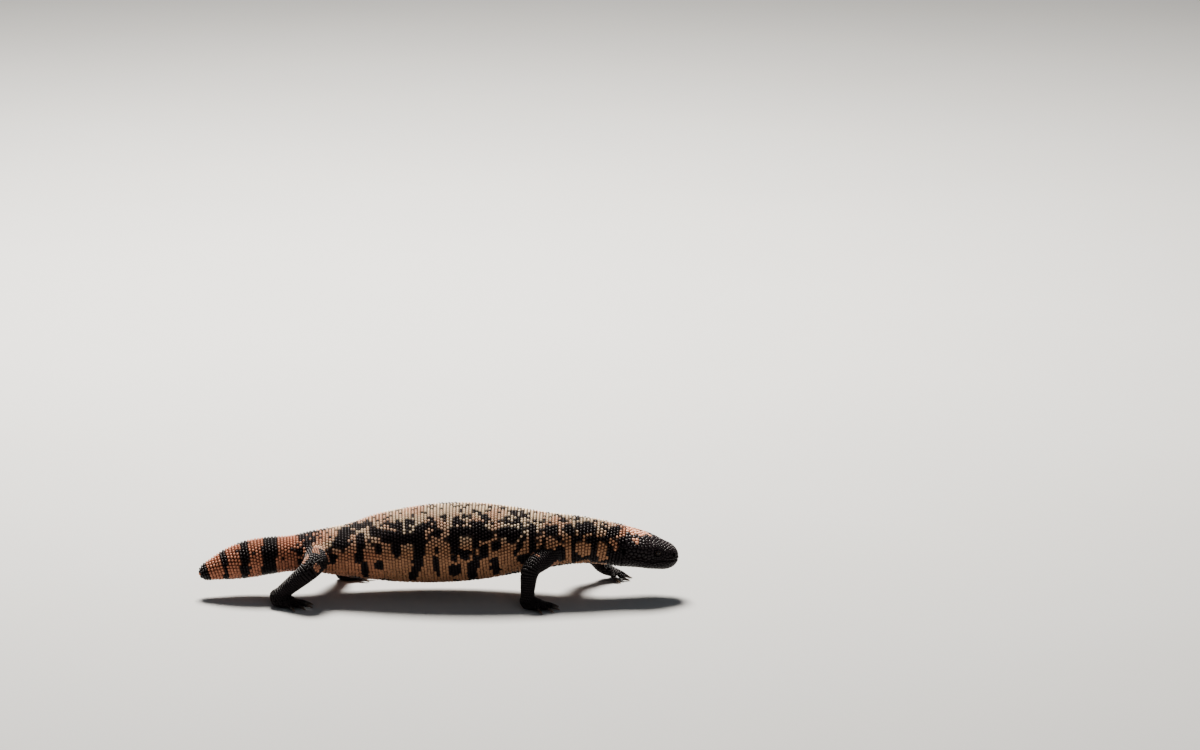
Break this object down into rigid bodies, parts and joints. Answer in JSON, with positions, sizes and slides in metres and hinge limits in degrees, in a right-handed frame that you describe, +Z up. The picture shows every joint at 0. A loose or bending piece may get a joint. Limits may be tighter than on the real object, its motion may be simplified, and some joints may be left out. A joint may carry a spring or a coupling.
{
  "type": "gila monster model",
  "caption": "Life-size still model of a Gila monster walking: beaded skin in salmon pink and black, blunt dark head, thick banded tail, clawed feet on the floor.",
  "frame": {"origin": "centre of the footprint's box, on the floor that the soles stand on", "axes": "+X from tail to snout, +Y to the animal's left, +Z up"},
  "size_m": [0.4002, 0.1277, 0.0771],
  "materials": {
    "beaded_skin": "bead-like scales, salmon pink to cream, with black blotches and bands",
    "head_skin": "black, polygonal scales, slightly glossy",
    "foot_skin": "black, granular",
    "claw_horn": "dark horn, worn at the tips",
    "eye": "wet, dark brown"
  },
  "bodies": {
    "root": {"head": "head_skin", "neck": "beaded_skin", "chest": "beaded_skin", "belly": "beaded_skin", "hips": "beaded_skin", "tail_base": "beaded_skin", "tail_middle": "beaded_skin", "tail_tip": "beaded_skin", "right_eye": "eye", "left_eye": "eye", "right_upper_arm": "beaded_skin", "right_forearm": "beaded_skin", "right_hand": "foot_skin", "right_hand_claw_1": "claw_horn", "right_hand_claw_2": "claw_horn", "right_hand_claw_3": "claw_horn", "right_hand_claw_4": "claw_horn", "right_hand_claw_5": "claw_horn", "left_upper_arm": "beaded_skin", "left_forearm": "beaded_skin", "left_hand": "foot_skin", "left_hand_claw_1": "claw_horn", "left_hand_claw_2": "claw_horn", "left_hand_claw_3": "claw_horn", "left_hand_claw_4": "claw_horn", "left_hand_claw_5": "claw_horn", "right_thigh": "beaded_skin", "right_shank": "beaded_skin", "right_foot": "foot_skin", "right_foot_claw_1": "claw_horn", "right_foot_claw_2": "claw_horn", "right_foot_claw_3": "claw_horn", "right_foot_claw_4": "claw_horn", "right_foot_claw_5": "claw_horn", "left_thigh": "beaded_skin", "left_shank": "beaded_skin", "left_foot": "foot_skin", "left_foot_claw_1": "claw_horn", "left_foot_claw_2": "claw_horn", "left_foot_claw_3": "claw_horn", "left_foot_claw_4": "claw_horn", "left_foot_claw_5": "claw_horn"}
  },
  "joints": []
}
